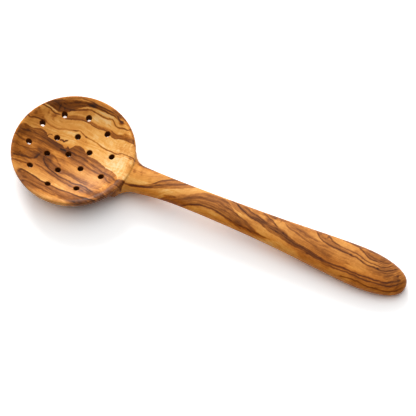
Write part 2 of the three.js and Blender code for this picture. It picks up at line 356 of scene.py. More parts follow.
# Each band: its darkness, paler below 0, its profile, the fade of its ends, its upper and its lower edge
FIGURE_BANDS = (
    # Far side of the dish
    (0.54, "even", 4,
     ((-37, 27.5), (-33, 29), (-30, 31.2), (-25, 34.2), (-20, 36.6), (-15, 38.2), (-10, 39.4),
      (-4, 40.3), (2, 40.6)),
     ((-37, 26.6), (-33, 26.9), (-28, 27), (-25, 27), (-22, 27.6), (-18.5, 29.5), (-16, 31.6),
      (-13, 34), (-9, 36.2), (-5, 37.8), (2, 38.6))),
    (0.34, "even", 4,
     ((-6, 41.3), (0, 41.2), (6, 40.6), (12, 39.6), (17, 38.4), (24, 36)),
     ((-6, 37.6), (0, 38.3), (6, 38), (12, 37.3), (17, 36.2), (24, 32.8))),
    (0.24, "soft", 6,
     ((-36, 31), (-30, 36), (-20, 42), (-10, 45.5), (0, 46.5), (10, 45.5), (22, 41)),
     ((-36, 26), (-30, 30.5), (-20, 37.3), (-10, 40.8), (0, 41.6), (10, 40.4), (22, 36.5))),
    (0.26, "soft", 6,
     ((10, 46), (18, 44), (26, 40), (34, 32), (41, 20)),
     ((10, 40.5), (18, 38.5), (26, 34), (34, 26), (41, 14))),
    (0.08, "soft", 3,
     ((-15, 34.5), (-8, 37), (2, 37.6)),
     ((-15, 31), (-8, 32.6), (2, 34))),
    (0.42, "dark_below", 4,
     ((-20, 25.5), (-17, 26.8), (-14, 28.4), (-10, 29.6), (-6, 30.2), (0, 29.6), (5, 28.5), (10, 28.1),
      (14, 27.8), (18, 27), (22, 26.1), (26, 25.7), (28, 26.3), (30, 26.2), (33, 25.2), (36, 24),
      (41, 22.6)),
     ((-20, 23.8), (-17, 24.4), (-14, 25.6), (-10, 27), (-6, 28), (-2, 28), (2, 27.3), (6, 26.3),
      (10, 26), (13, 25.9), (17, 24.2), (19, 23.2), (22, 22.8), (26, 22.8), (29, 22.6), (32, 22),
      (35, 21.2), (38, 20.8), (41, 20.6))),
    (0.2, "soft", 3,
     ((-46, 18), (-40, 21.5), (-36, 20.5), (-32, 18), (-28, 16.5)),
     ((-46, 11.5), (-40, 12.2), (-36, 14.5), (-32, 15.6), (-28, 15.2))),
    (-0.2, "soft", 2,
     ((-36, 26.9), (-30, 26.8), (-24, 26.6)),
     ((-36, 25.9), (-30, 25.8), (-24, 25.6))),
    (-0.1, "soft", 4,
     ((0, 34.8), (6, 34.2), (12, 33.6), (17, 32)),
     ((0, 30.8), (6, 30.2), (12, 29.8), (17, 29))),
    (-0.07, "soft", 6,
     ((4, 25), (16, 22.5), (28, 20)),
     ((4, 18.6), (16, 14.6), (28, 13))),
    (-0.12, "soft", 5,
     ((-32, 17), (-22, 16), (-14, 18), (-2, 20)),
     ((-32, 11.5), (-22, 10.4), (-14, 9), (-2, 10))),
    (-0.1, "soft", 3,
     ((-16, 33), (-10, 36), (-5, 37.8), (0, 38.4), (8, 37.9), (16, 36.8)),
     ((-16, 32), (-10, 34.8), (-5, 36.5), (0, 36.8), (8, 36), (16, 35))),
    # Broad brown zone across the dish, with pale wood above it and orange wood below it
    (0.42, "dark_above", 9,
     ((-46, 4), (-40, 6.6), (-36, 6.8), (-33, 8.2), (-31, 9.3), (-28, 9.8), (-26, 9.4), (-24.6, 8),
      (-23.5, 6.6), (-20, 6.3), (-15, 6.4), (-12.5, 5.9), (-11, 5), (-10, 4.3), (-9.2, 4), (-8.5, 4.8),
      (-7.8, 6), (-7, 5.4), (-6, 5.2), (-5, 6.4), (-4, 8.2), (-3, 9.3), (-1.5, 9.9), (0.5, 10),
      (3, 9.3), (5, 8), (7, 6.2), (9, 4.9), (12, 4.3), (15, 4.1), (18, 3), (21, 1.6), (25, -0.4),
      (28, -1.8), (31, -2.8), (33, -3.8), (35, -5), (37, -6.8), (38.5, -9), (41, -12)),
     ((-46, -1.4), (-35, 0), (-20, 1), (-10, 0.6), (-4, -0.5), (0, -1.8), (4, -3.1), (8, -3.9),
      (12, -5), (15, -5.9), (20, -7), (24, -8.2), (28, -10.2), (31, -12), (34, -13.6), (36, -15),
      (41, -19))),
    (0.12, "soft", 8,
     ((-50, 8), (-32, 6), (-14, 3), (4, 0)),
     ((-50, -26), (-32, -27), (-14, -24), (4, -20))),
    (-0.12, "soft", 4,
     ((-47, 12), (-40, 11.5), (-33, 11), (-26, 9)),
     ((-47, 1), (-40, 1), (-33, 0.5), (-26, -1))),
    (0.14, "soft", 6,
     ((-24, 7), (-16, 6), (-8, 5.5), (2, 6)),
     ((-24, 2), (-16, 1.5), (-8, -1), (2, -1.5))),
    (-0.1, "soft", 4,
     ((8, 5), (18, 3), (28, -1.4), (37, -6)),
     ((8, 1.5), (18, -1), (28, -5), (37, -10))),
    (0.09, "soft", 5,
     ((-30, 0), (-22, 1), (-10, 1.5), (4, -2), (14, -5)),
     ((-30, -6), (-22, -6), (-10, -8), (4, -8.5), (14, -9))),
    (-0.09, "soft", 6,
     ((2, 18), (12, 16), (22, 12.5), (30, 12), (42, 10)),
     ((2, 10.5), (8, 6), (18, 4), (27, 0), (42, -8))),
    # Paler tone on the dish's wall by the handle: a painted sheen
    (-0.09, "soft", 5,
     ((26, 9), (34, 11), (45, 11)),
     ((26, -2), (34, -5), (45, -9))),
    # Near side of the dish, and its rim
    (0.18, "soft", 3,
     ((-28, -3.5), (-24, -3), (-20, -3), (-16, -4.5), (-12, -8)),
     ((-28, -13), (-24, -14), (-20, -15.5), (-16, -16), (-12, -17))),
    (0.17, "soft", 2,
     ((-26, -4), (-22, -3.6), (-17.5, -4.4)),
     ((-26, -11), (-22, -13), (-17.5, -13.6))),
    (0.12, "dark_below", 3,
     ((-45, -17), (-36, -14), (-30, -12.4), (-25, -9)),
     ((-45, -22.4), (-36, -18.6), (-30, -16.2), (-25, -13.6))),
    (0.1, "soft", 8,
     ((-42, -16), (-20, -16), (0, -10), (20, -13), (40, -18)),
     ((-42, -24), (-20, -23), (0, -27), (20, -31), (40, -33))),
    (0.08, "soft", 8,
     ((2, -12), (14, -14), (26, -15), (40, -17)),
     ((2, -26), (14, -31), (26, -33), (40, -33))),
    (-0.08, "soft", 4,
     ((-28, -22), (-18, -20.6), (-6, -23)),
     ((-28, -27), (-18, -27), (-6, -29.4))),
    (0.24, "soft", 4,
     ((4, -33.4), (12, -33.4), (20, -33), (26, -31)),
     ((4, -39), (12, -39.4), (20, -38.6), (26, -36))),
    (0.13, "dark_below", 2,
     ((-46, -6), (-40, -6.5), (-34, -6.5), (-30, -5.5), (-26, -4.5), (-22.5, -4)),
     ((-46, -18.5), (-40, -18.5), (-36, -18), (-33, -16.8), (-30, -15.8), (-27, -14.9), (-24.5, -13),
      (-22.5, -8))),
    (0.24, "dark_below", 2,
     ((-20.5, -5.5), (-17, -5.5), (-14, -8), (-11, -10), (-9.5, -10.6), (-7.5, -11), (-5, -11.2),
      (0, -11.6), (5, -12), (10, -13.6), (15, -15), (21, -16)),
     ((-20.5, -8), (-19.3, -10), (-18.5, -11.5), (-17, -13), (-15, -14.8), (-12, -16.2), (-9, -16.4),
      (-5, -16.2), (0, -15.8), (5, -16.2), (10, -17.3), (15, -18.6), (20, -19.2), (27, -20))),
    (0.22, "dark_above", 4,
     ((-14, -15.3), (-12, -16.3), (-9.5, -17), (-6, -17.6), (-4.5, -18.3), (-3, -19), (0, -19.5),
      (6, -20), (9, -20.6), (12, -20.4), (16, -20.2)),
     ((-14, -19), (-10, -20), (-6, -20.9), (-3, -22), (0, -22.8), (4, -23.4), (8, -23.8), (12, -24.2),
      (16, -24.6))),
    (0.3, "soft", 4,
     ((13, -20), (17, -20.5), (21, -22), (25, -23.2), (30, -24), (36, -25)),
     ((13, -24.5), (17, -26.5), (21, -28), (25, -28.5), (30, -29), (36, -30))),
    (0.28, "dark_above", 3,
     ((-30.5, -29), (-28.3, -28.3), (-27, -27.5), (-25, -27.3), (-20, -27.3), (-17, -27.7),
      (-14, -28.3), (-11, -29), (-8, -29.5), (-4, -29.8), (0, -30), (8, -29.9), (12, -30.3), (15, -31),
      (20, -31.5), (25, -32), (28, -31.8), (33, -31)),
     ((-30.5, -36), (-25, -39.5), (-20, -40.6), (-15, -41), (-8, -40.4), (0, -39.6), (8, -39),
      (15, -39.6), (22, -40.2), (33, -41))),
    (0.24, "soft", 5,
     ((12, -38.6), (18, -36.3), (24, -32.6), (30, -27), (35, -20), (38.5, -12), (42, -8)),
     ((12, -46), (18, -44), (24, -41), (30, -37), (36, -31), (41, -24), (45, -15))),
    (0.14, "soft", 3,
     ((20, -16), (25, -17), (31, -17.5)),
     ((20, -19.5), (25, -20.5), (31, -21))),
    (0.14, "soft", 5,
     ((-30, -33), (-20, -36), (-8, -36.5)),
     ((-30, -37), (-20, -40), (-8, -40))),
    (0.12, "soft", 8,
     ((-34, -36), (-15, -42), (5, -43), (22, -40)),
     ((-34, -40), (-15, -45), (5, -46), (22, -43))),
    (0.42, "even", 1,
     ((37.6, -9.6), (41, -9), (44, -8.7)),
     ((37.6, -14.2), (41, -14.6), (44, -14.6))),
    (0.1, "even", 1.5,
     ((35, -19.4), (38, -19), (42, -18)),
     ((35, -23.6), (38, -23.6), (42, -23))),
    (0.12, "soft", 5,
     ((-38, -17.4), (-30, -15.4), (-25, -14)),
     ((-38, -21.2), (-30, -19), (-25, -17))),
    (0.2, "even", 2,
     ((33, -23.6), (35, -20.6), (37, -19.4), (39, -17.4), (41, -13.6), (44, -12)),
     ((33, -40), (39, -40), (44, -40))),
    # Neck
    (0.31, "even", 4,
     ((46, -8.4), (50, -7.8), (55, -6.4), (58, -5.4), (61, -4.2), (63, -3), (65, -1.2), (66, 0),
      (67, 1.2), (69, 2.8), (71, 4), (73, 5.4), (75, 6.9), (77, 8.4), (80, 10.5), (84, 13.5), (94, 20)),
     ((46, -10), (50, -9.3), (55, -8.1), (58, -7.3), (61, -6.5), (65, -5.5), (69, -4.2), (73, -2.8),
      (77, -1.1), (80.5, 0.6), (85, 3), (89, 5.2), (92, 7.6), (94, 11))),
    (0.1, "soft", 5,
     ((58, 3), (66, 7), (72, 10), (80, 14)),
     ((58, -5), (66, 0), (72, 4.5), (80, 10))),
    (0.33, "even", 5,
     ((66, -11), (70, -9.9), (74, -8.3), (78, -6.7), (81, -5.6), (84, -4.2), (87, -2.8), (90, -1.4),
      (93, 0.2), (95, 1.5), (97, 2.7), (99, 3.9), (102, 5.3), (106, 6.3), (110, 6.5), (113, 6.1),
      (116, 5.2), (118, 4.2), (120, 3), (122, 1.8), (125, 0), (128, -1.4), (131, -2.8), (134, -3.8)),
     ((66, -12), (72, -11.4), (80, -10.4), (86, -9.6), (90, -8.8), (92, -8), (94, -7.2), (96, -6.5),
      (98, -6), (100, -5.7), (103, -5.2), (106, -5), (110, -4.8), (113, -5), (116, -5.5), (119, -6.2),
      (122, -6.9), (125, -7.6), (134, -8.8))),
    (-0.1, "soft", 6,
     ((44, -3), (52, -2.4), (60, -1), (66, 2)),
     ((44, -8), (52, -7), (60, -4.6), (66, -1))),
    (-0.06, "soft", 6,
     ((84, 12), (96, 12), (112, 12), (126, 10)),
     ((84, 5.6), (96, 5.6), (112, 6), (126, 6))),
    (0.22, "even", 4,
     ((111, 6.4), (115, 7), (119, 8.2), (122, 7.3), (125, 6), (128, 4.4), (131, 3.2), (134, 2.2)),
     ((111, 5), (115, 4.4), (119, 3.8), (122, 3), (125, 2), (128, 1.1), (131, 0.4), (134, 0))),
    (-0.04, "soft", 6,
     ((66, -6), (72, -3.8), (78, -1.2), (84, 2.6), (90, 6)),
     ((66, -7.2), (72, -6), (78, -4.4), (84, -2.2), (90, 1.4))),
    # Middle of the handle
    (0.3, "soft", 4,
     ((122, 10.5), (126, 9.5), (130, 7.8), (133, 6.4), (136, 5.2), (140, 4), (145, 2.4), (150, 1)),
     ((122, 7.2), (126, 5), (130, 2.8), (133, 1.4), (136, 0.5), (140, -0.3), (145, -1.1), (150, -1.8))),
    (0.14, "soft", 4,
     ((128, 12.5), (136, 10.4), (144, 9), (152, 8)),
     ((128, 9), (136, 6.2), (144, 4.2), (152, 3.4))),
    (0.34, "even", 6,
     ((136, 1.8), (140, 1.6), (145, 0.9), (150, -0.2), (154, -0.6), (157, -0.4), (160, -0.6),
      (164, -1.2), (167, -2.2), (170, -3.5), (175, -4.8), (180, -5.4), (185, -6.3), (190, -7.1),
      (195, -8), (202, -8.6)),
     ((136, 0.2), (140, -0.5), (145, -1.5), (150, -3.5), (154, -4.7), (157, -5.3), (160, -5.6),
      (164, -6), (167, -6.4), (170, -6.8), (175, -7.5), (180, -8.2), (185, -9), (190, -9.7), (195, -10),
      (202, -9.9))),
    (0.26, "soft", 4,
     ((146, 4.8), (150, 4.6), (153, 3.2), (156, 1.8), (160, 0.8), (164, 0), (168, -1.6)),
     ((146, 0.6), (150, 0), (153, -0.6), (156, -0.8), (160, -1.5), (164, -2.5), (168, -4))),
    (0.24, "soft", 3,
     ((146, 12), (152, 12), (158, 12), (164, 11)),
     ((146, 8), (150, 7), (154, 6.6), (158, 7.5), (164, 8.8))),
    (0.2, "soft", 14,
     ((155, 11), (160, 10.2), (165, 9.6), (168, 8.8), (172, 8), (176, 7), (180, 5.8), (184, 4.2),
      (188, 2.6), (195, 1), (202, -0.5)),
     ((155, 9.6), (160, 7.6), (164, 4.8), (168, 2.8), (172, 1.6), (176, 0.6), (180, -0.4), (184, -1.6),
      (188, -2.6), (195, -4), (202, -5))),
    (-0.04, "soft", 4,
     ((150, 9.6), (158, 8.6), (166, 7)),
     ((150, 4.4), (158, 2.6), (166, 0.6))),
    (0.36, "soft", 6,
     ((127, -4), (131, -4.2), (135, -4.4), (139, -5), (142, -6.8), (148, -8.4), (154, -9.4)),
     ((127, -8), (131, -8.4), (135, -8.7), (139, -9), (142, -9.5), (148, -10), (154, -10.6))),
    (-0.14, "soft", 6,
     ((144, -5.5), (156, -6.5), (168, -8.2), (180, -9.4)),
     ((144, -11), (156, -12), (168, -12.5), (180, -13))),
    (0.05, "soft", 8,
     ((168, -7), (176, -8.2), (186, -9.4), (196, -10.4), (206, -10.4)),
     ((168, -13), (176, -13.5), (186, -14), (196, -14.5), (206, -14))),
    (0.12, "soft", 8,
     ((164, -1), (175, -2), (185, -3), (195, -3.5), (206, -4)),
     ((164, -7), (175, -9), (185, -10.5), (195, -11), (206, -11))),
    (0.06, "soft", 5,
     ((166, 12.5), (176, 12), (186, 12.5)),
     ((166, 8), (176, 6), (186, 6))),
    (0.12, "soft", 8,
     ((180, -2.6), (195, -2), (216, -3)),
     ((180, -6), (195, -7), (216, -8))),
    (0.1, "soft", 5,
     ((131, 0.4), (136, 0.2), (141, -0.4), (146, -1.5)),
     ((131, -3.4), (136, -6), (141, -7), (146, -7))),
    # Grip
    (0.21, "dark_below", 9,
     ((182, 14), (187, 12.6), (191, 11.2), (194, 9.2), (197, 7.4), (201, 6), (205, 5), (210, 4.2),
      (216, 3.8)),
     ((182, 12.4), (184.5, 10), (186, 8), (188, 6), (190, 4.8), (193, 3.8), (197, 3.1), (202, 2.9),
      (207, 2.7), (212, 2.8), (216, 2.5))),
    (0.2, "dark_below", 4,
     ((213, 14), (218, 13.4), (224, 13), (230, 12.8), (238, 13)),
     ((213, 12.2), (217, 10.6), (219, 9.6), (221, 8.6), (223, 7.3), (225, 6.1), (228, 5.6), (231, 5.7),
      (233, 6.4), (235, 8.2), (236.5, 10.4), (238, 12.6))),
    (0.08, "soft", 6,
     ((216, -9.1), (224, -9), (236, -8), (244, -7), (250, -5)),
     ((216, -17), (224, -17), (236, -15), (244, -12), (250, -9))),
    (0.16, "soft", 3,
     ((247, 4), (251, 8), (257, 9)),
     ((247, -4), (251, -8), (257, -9))),
    (0.17, "soft", 5,
     ((231, 13), (237, 14), (242, 14), (250, 12)),
     ((231, 3), (237, -2), (242, -4), (250, -5))),
    (0.12, "soft", 4,
     ((224, 2), (230, 1.5), (237, 1)),
     ((224, -1.5), (230, -4), (237, -4))),
    (0.07, "soft", 6,
     ((194, -7.6), (212, -7.8), (226, -7.2), (240, -5), (252, -1)),
     ((194, -11.6), (212, -12), (226, -11.4), (240, -10), (252, -8))),
    (0.45, "soft", 3,
     ((202, 15.4), (208, 15.4), (214, 15.4), (217, 15.4)),
     ((202, 13), (208, 12), (214, 12), (217, 12.6))),
    (-0.08, "soft", 3,
     ((200, 12.5), (206, 12.4), (212, 12), (218, 10.4)),
     ((200, 8.6), (206, 6.6), (212, 6.3), (218, 6.2))),
    (0.18, "soft", 3,
     ((220, 15.4), (226, 15.2), (233, 14.6)),
     ((220, 12.6), (226, 11.6), (233, 11.6))),
)

# Darkness across a line, from the edge of its stain at 1 to near its middle at 0
LINE_PROFILE = ((1, 0), (0.6, 0.3), (0.3, 0.8))

# Each line: its darkness, the reach of its stain above and below it, the fade of its ends, and its places
FIGURE_LINES = (
    # Far side of the dish
    (0.4, 0.9, 0.9, 3, ((-12, 40.6), (-6, 41), (0, 40.7), (6, 40.2), (10, 39.7), (15, 38.9))),
    (0.42, 0.8, 1.2, 3,
     ((-8, 38.2), (-3, 39.2), (2, 39.1), (6, 38.7), (10, 38.1), (14, 37.6), (18, 36.6))),
    (0.3, 1.2, 1.2, 2, ((-20, 35), (-17, 36.4), (-14, 37.6), (-11, 38.6))),
    (0.62, 0.8, 0.9, 2,
     ((-37, 25), (-33, 25.3), (-31, 25.4), (-29, 25), (-27, 24.5), (-25, 24.7), (-21.5, 25.6))),
    (0.5, 0.9, 1.1, 3,
     ((-18, 30.6), (-15, 31.9), (-12, 33.4), (-8, 35), (-4, 36.2), (0, 36.2), (5, 35.2), (10, 34.6),
      (14, 35), (16, 34), (18, 32.3), (20, 31), (22, 30.7), (25, 30.7), (28, 30), (31, 30.7))),
    (0.6, 0.7, 0.8, 1, ((17.3, 38.2), (18, 37.3), (19, 36.3), (20.5, 35.4), (22, 34.9), (23.5, 35.1))),
    (0.3, 0.8, 0.8, 2, ((17, 39.6), (19, 39), (21, 38.2), (24, 36.6), (25.5, 35.8))),
    (0.22, 0.8, 0.8, 1.5, ((12, 31), (14, 30.8), (16, 30))),
    (0.2, 0.7, 0.7, 3, ((15, 28.6), (18, 27.2), (21, 25.8), (24, 25.2), (28, 25.6))),
    # Long vein across the dish
    (0.55, 0.9, 1.1, 2,
     ((-44, 13.4), (-42, 13), (-40, 12.5), (-38, 13.7), (-36, 14.8), (-33.5, 15.4), (-30, 16.2))),
    (0.3, 1.5, 1.3, 3,
     ((-32, 16.4), (-29, 15.8), (-25, 14.9), (-20, 15.5), (-17.5, 16.6), (-15, 17.5), (-12, 18.5),
      (-9, 19.5), (-5, 20.4))),
    (0.5, 0.8, 0.8, 3,
     ((-10, 19.2), (-7.5, 20), (-5, 20.6), (-3, 20.2), (0, 19), (1.5, 18.4), (4, 17.9), (7, 17.5),
      (9, 17), (11, 16.3), (13, 15.4), (15, 14.7), (18, 14), (22, 13.2), (25, 12.5), (28, 12),
      (30, 12.5), (32, 13), (34, 12.6), (37, 11.6), (40, 10.9), (45, 10.6))),
    # Black checks
    (1.1, 1, 1, 1, ((-15.5, 9.1), (-13.5, 9.5), (-12.3, 8.9), (-11.2, 9.7), (-9.6, 10.9))),
    (0.6, 0.6, 0.6, 1, ((-24.9, 6.9), (-24, 8.1), (-23.2, 9.1), (-22, 9.6), (-21, 9.2))),
    (1.1, 1, 1.1, 1, ((-12.6, 2.9), (-11, 2.3), (-9, 2.5), (-7.3, 2.2))),
    (0.7, 0.5, 0.5, 0.6, ((-8.4, 6.4), (-7.5, 5.8), (-6.2, 4.9))),
    # Broad brown zone
    (0.42, 1, 1.2, 3, ((-7, 3.6), (-3, 3.1), (0, 2.7), (3, 2.6), (6, 2), (9, 1), (12, 0.2))),
    (0.25, 1, 1, 3,
     ((-4, -0.2), (0, -0.8), (3, -1.4), (6, -2.3), (9, -2.9), (12, -3.9), (15, -4.5), (18, -5.3),
      (22, -6.3), (26, -7.6), (29, -9.5), (31, -11), (33, -12), (37, -12.9))),
    (0.28, 1, 1, 3,
     ((11, 0.3), (15, -0.7), (17, -1.5), (20, -2.5), (23, -3.8), (26, -5), (29, -5.7), (32, -7),
      (35, -8.5), (39, -11.4))),
    (0.2, 0.8, 0.8, 3, ((-36, 5.3), (-30, 5), (-24, 4.6), (-18, 4), (-13, 4.2))),
    (-0.16, 0.8, 0.8, 3, ((-33, 2), (-28, 2.6), (-21, 2.2))),
    (0.25, 1, 1, 2, ((-45, 2), (-41, 1.4), (-37, 3), (-34.5, 4.5))),
    (0.3, 1.2, 1.2, 2, ((-46, -3.5), (-42, -4.8), (-38, -4.9), (-35, -4))),
    # Near side of the dish
    (0.2, 0.8, 0.8, 3, ((-42, -10.9), (-38, -10.3), (-34, -9.5), (-30, -8), (-26, -5.4), (-23, -4.4))),
    (0.2, 0.9, 0.9, 2, ((-31, -10.4), (-28.5, -10), (-27.5, -9.3), (-25.5, -7.9))),
    (0.42, 1.6, 0.9, 3,
     ((-40, -21.6), (-38, -20.6), (-36, -19.3), (-33, -17.7), (-30, -16.4), (-28, -15.6),
      (-26.5, -15.1), (-25, -14.4), (-24.2, -13), (-23.6, -11.4), (-23, -9.4), (-22.4, -7.8),
      (-21.2, -6.4))),
    (0.5, 0.7, 1, 2,
     ((-20, -7.6), (-19.7, -9), (-19.2, -10.3), (-18.3, -11.7), (-17, -13), (-15, -14.8),
      (-13.5, -15.7), (-12, -16.3), (-9.5, -17), (-6, -17.6), (-4.5, -18.3), (-3, -19), (0, -19.5),
      (3, -19.8), (6, -20), (9, -20.7), (12, -20.4), (15, -20), (18, -20.6), (20, -21.5), (23, -22.8),
      (27, -24.3))),
    (0.2, 1, 1, 2, ((-18, -8.6), (-15, -9.6), (-12, -11), (-9, -12), (-6.5, -12.8))),
    (0.22, 1, 1, 2, ((-16.5, -4), (-13, -5), (-11, -6.3), (-9.5, -8), (-7.5, -9.4), (-5, -10.4))),
    (0.28, 1, 1, 3,
     ((-23, -17.9), (-18, -18.2), (-14, -18.8), (-10, -19.8), (-6, -20.7), (-3, -21.7), (0, -22.5),
      (4, -23), (8, -23.5), (12, -24.2))),
    (0.09, 1, 1, 3, ((-2, -14.4), (4, -14.4), (9, -15.5), (14, -16.4), (20, -17.6))),
    (0.32, 1, 1.3, 2,
     ((-39, -25.2), (-36, -23.9), (-33, -22.5), (-30, -21.5), (-28, -20.8), (-26, -20.3))),
    (-0.12, 0.8, 0.8, 2, ((-39, -23.9), (-36, -22.6), (-33, -21), (-30, -19.8))),
    (0.5, 0.5, 1.2, 1.5,
     ((-28.7, -31.6), (-28.5, -30), (-28.1, -28.7), (-27, -27.6), (-25, -27.3), (-20, -27.3),
      (-17, -27.7), (-14, -28.3), (-11, -29), (-8, -29.5), (-4, -29.8), (0, -30), (5, -30), (8, -29.8),
      (12, -30.3), (15, -31), (20, -31.6), (25, -32.1), (28, -31.9), (32, -30.9))),
    (0.22, 1.2, 1.2, 3, ((-27, -33.4), (-22, -33), (-16, -33), (-10, -33.2), (-2, -33.2), (6, -34))),
    (0.15, 0.8, 0.8, 3, ((-20, -35), (-8, -35), (4, -35.6), (12, -36.2))),
    (0.34, 1.2, 1, 3, ((-24, -37.5), (-18, -36.5), (-10, -36.8), (-2, -37.3), (5, -37.6))),
    (0.25, 0.6, 0.6, 1, ((15.5, -24), (17.5, -24.6), (20, -25.2))),
    (0.28, 0.6, 0.6, 2, ((17, -22.3), (20, -23.5), (22, -24.3), (25, -25.6))),
    (0.25, 0.6, 0.6, 2, ((19, -21), (22, -22.4), (26, -24))),
    # Neck
    (0.34, 1.2, 1.4, 3,
     ((41, -9.4), (46, -9.2), (50, -8.4), (54, -7.6), (57.5, -6.8), (61, -6), (65, -5))),
    (0.22, 1, 1, 3,
     ((60, -4.8), (64, -4), (67, -2.8), (70, -1.3), (73, 0.2), (76, 1.6), (80, 3.7), (84, 5.8), (88, 8))),
    (0.3, 0.5, 1.6, 3,
     ((62, -3.3), (65, -1.2), (66, 0), (67, 1.2), (69, 2.8), (71, 4), (73, 5.3), (75, 6.7), (77, 8.2),
      (79, 9.8))),
    (-0.12, 1, 1, 2, ((70, 2), (73, 3.6), (76, 5.4), (79, 7.4))),
    (0.3, 1, 1, 2, ((73, -7.8), (77, -6.9), (80, -6.2), (83, -6))),
    (0.3, 1.5, 0.6, 4,
     ((88, -9), (92, -7.8), (94, -7), (96, -6.2), (98, -5.7), (100, -5.4), (103, -4.9), (106, -4.7),
      (110, -4.5), (113, -4.5), (118, -5.2))),
    (0.1, 1, 1, 4,
     ((86, -5), (90, -3), (94, -1), (97, 0.2), (101, 0.7), (106, 0.9), (111, 0.5), (117, -0.6))),
    (0.09, 1, 1, 3, ((98, -3), (103, -2.8), (108, -2.6), (114, -3.2))),
    (0.08, 0.8, 0.8, 3, ((104, 2.8), (109, 2.6), (113, 2), (118, 1))),
    (0.5, 1.5, 1.5, 4, ((45, 10.4), (48, 9.6), (51, 9), (54, 8.9), (57, 9.6), (60, 10.8), (66, 13.5))),
    # Middle of the handle
    (0.45, 0.8, 0.8, 3,
     ((118, 9.2), (122, 7.4), (125, 6.2), (127, 5), (129, 4), (131, 3.2), (133, 2.2), (135, 1.3),
      (138, 0.1), (141, -0.8))),
    (0.32, 0.8, 0.9, 3,
     ((119, 0.7), (123, 0.3), (126, -0.7), (129, -1.8), (132, -2.8), (135, -3.7), (138, -4.5))),
    (0.42, 0.9, 0.9, 3,
     ((129, 8), (133, 6.3), (136, 5), (139, 4), (142, 3), (145, 2), (148, 1), (152, 0))),
    (0.5, 0.7, 0.8, 2,
     ((143, 9.2), (146, 7.5), (148, 6.2), (150, 5.1), (152, 4.4), (154, 3), (156, 1.7), (158, 0.9))),
    (0.25, 0.7, 0.7, 4,
     ((150, -1.6), (155, -2.4), (160, -3), (166, -4), (172, -5.4), (178, -6.3), (184, -7.2),
      (190, -8.2), (197, -9))),
    (0.26, 1, 1, 4,
     ((112, -4.7), (116, -5.4), (123, -6.6), (130.5, -7.5), (138, -8.2), (144, -8.6), (150, -9),
      (158, -9.8))),
    (0.18, 0.6, 1, 3,
     ((160, 7.8), (164, 5), (166, 3.9), (168, 3.1), (171, 2.5), (175, 1.2), (178, 0.3), (181, -0.5),
      (185, -1.6), (190, -2.6))),
    (0.2, 0.8, 0.8, 3, ((168, 7), (172, 5.6), (176, 4.9), (180, 4.1), (184, 2.8), (189, 2.2))),
    (-0.1, 0.7, 0.7, 2, ((170, 3.6), (174, 2.8), (178, 1.9), (182, 1))),
    # Arcs of the grip
    (0.5, 0.9, 0.9, 3,
     ((183, 12.4), (184.5, 10), (186, 8), (187.5, 6.5), (189, 5.3), (190.5, 4.6), (192, 4), (194, 3.5),
      (196, 3.1), (199, 2.9), (203, 3), (206, 2.8), (209, 2.7), (212, 3), (214, 2.4), (217, 2.5),
      (219, 2), (221, 1.3), (223, 0.7), (226, 0.4), (230, 0.5), (233, 0.8), (236, 0.9), (238, 1.5),
      (240, 2.5), (242, 4), (244, 6), (246, 8.5), (247.3, 11))),
    (0.4, 0.9, 0.8, 3,
     ((191, 12.8), (192.2, 11.2), (193.6, 9.8), (195, 8.6), (197, 7.4), (200, 6.5), (203, 6),
      (207, 5.7), (210, 5.6), (214, 5.4), (218, 5), (221, 4.2), (223, 3.6), (225, 3.2), (228, 3),
      (231, 2.9), (234, 3), (236, 3.5), (238, 4.6), (239.5, 6), (241, 8), (242, 10), (243, 12.5))),
    (0.35, 0.8, 0.8, 2,
     ((215, 12), (217, 10.6), (219, 9.6), (221, 8.6), (223, 7.3), (225, 6.1), (228, 5.7), (231, 5.7),
      (234, 6), (236, 6.9), (238, 8.5), (240, 11))),
    (0.3, 0.8, 0.8, 2,
     ((222, 10.2), (224, 9), (226, 8.4), (229, 7.8), (232, 7.8), (235, 7.8), (237, 9), (238.5, 11))),
    (0.52, 0.9, 1.2, 4,
     ((198, -8.6), (205, -9), (210, -8.7), (215, -9), (220, -8.8), (225, -8.5), (229, -8), (233, -7.5),
      (237, -6.8), (240, -6.3), (243, -5.3), (245, -4), (247, -2.5), (249, -1), (251, 0.6))),
    (0.4, 0.9, 0.9, 4,
     ((200, -10.2), (207, -11), (212, -10.9), (217, -10.7), (222, -10.5), (227, -10.3), (232, -9.6),
      (236, -9), (240, -8.3), (243, -7.6), (246, -6.3), (249, -4), (251, -2), (253, 0.6), (254.5, 3.5))),
    (0.35, 0.9, 0.9, 4,
     ((209, -14.4), (213, -13.9), (217, -13.5), (222, -13), (227, -13), (232, -12.8), (238, -12),
      (243, -11), (247, -9.6), (250, -7.6), (252.5, -5), (254.4, -1.5))),
    (0.25, 0.7, 0.7, 1, ((246, 1), (248, 2.6), (249.6, 4.4), (250.6, 6.5))),
    (0.2, 0.5, 0.5, 2, ((235, -0.6), (239, 0.2), (242, 1.8), (244.5, 4), (246.5, 6.5), (248.2, 9.5))),
    (0.18, 0.5, 0.5, 2, ((238, -2.2), (242, -0.4), (245, 2), (247.4, 5), (249.3, 8.4))),
    (0.22, 0.5, 0.5, 2, ((233, 2), (237, 2.6), (239.5, 4), (241.5, 6.2), (243.2, 9), (244.5, 12))),
    (0.2, 0.5, 0.5, 2, ((231, 4.4), (235, 4.8), (237, 5.8), (238.8, 7.8), (240.2, 10.4), (241, 12.6))),
    (0.18, 0.5, 0.5, 2, ((241, 1), (243.5, 3), (245.3, 5.4), (247, 8.4))),
    (0.16, 0.5, 0.5, 1, ((249, -6.4), (251, -4), (252.6, -0.6), (253.4, 3))),
)

